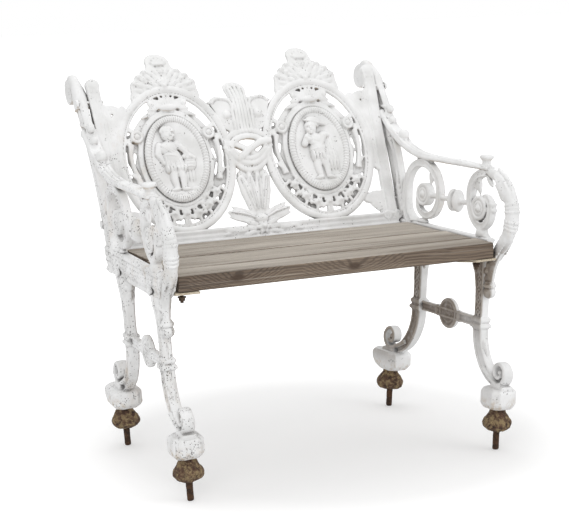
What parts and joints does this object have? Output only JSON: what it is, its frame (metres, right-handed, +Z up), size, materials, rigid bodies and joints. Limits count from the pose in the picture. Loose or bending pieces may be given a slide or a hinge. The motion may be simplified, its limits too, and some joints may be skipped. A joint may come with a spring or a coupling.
{
  "type": "garden bench",
  "caption": "Small two-seat garden bench with ornate white-painted cast iron ends and back, oval medallions, weathered wooden seat boards and rusty ball feet on ground pins.",
  "frame": {"origin": "on the ground, in the middle of the four foot pins, at their tips", "axes": "+X to the sitter's left when seated, along the seat; +Y to the back; +Z up"},
  "size_m": [0.9236, 0.7711, 0.9666],
  "materials": {
    "castings": "weathered white oil paint on sand-cast iron, chipped and stained",
    "ball_feet": "bare iron, pitted rust with dry moss",
    "foot_pins": "dark rust",
    "boards": "grey weathered softwood, brushed grain and knots",
    "cleats": "pale newer softwood",
    "fasteners": "dull steel with rust"
  },
  "bodies": {
    "root": {"back_panel": "castings", "cleat_bolts": "fasteners", "cleat_nuts": "fasteners", "front_board": "boards", "left_arm_boss": "castings", "left_arm_knob": "castings", "left_arm_rail": "castings", "left_arm_scroll": "castings", "left_back_post": "castings", "left_front_foot": "ball_feet", "left_front_leg": "castings", "left_front_pin": "foot_pins", "left_front_volute": "castings", "left_leg_stretcher": "castings", "left_medallion": "castings", "left_rear_foot": "ball_feet", "left_rear_leg": "castings", "left_rear_pin": "foot_pins", "left_rear_volute": "castings", "left_seat_cleat": "cleats", "left_seat_rail": "castings", "medallion_screws": "fasteners", "middle_board": "boards", "panel_bolts": "fasteners", "panel_nuts": "fasteners", "rear_board": "boards", "right_arm_boss": "castings", "right_arm_knob": "castings", "right_arm_rail": "castings", "right_arm_scroll": "castings", "right_back_post": "castings", "right_front_foot": "ball_feet", "right_front_leg": "castings", "right_front_pin": "foot_pins", "right_front_volute": "castings", "right_leg_stretcher": "castings", "right_medallion": "castings", "right_rear_foot": "ball_feet", "right_rear_leg": "castings", "right_rear_pin": "foot_pins", "right_rear_volute": "castings", "right_seat_cleat": "cleats", "right_seat_rail": "castings", "seat_bolts": "fasteners", "seat_nuts": "fasteners", "seat_washers": "fasteners"}
  },
  "joints": []
}
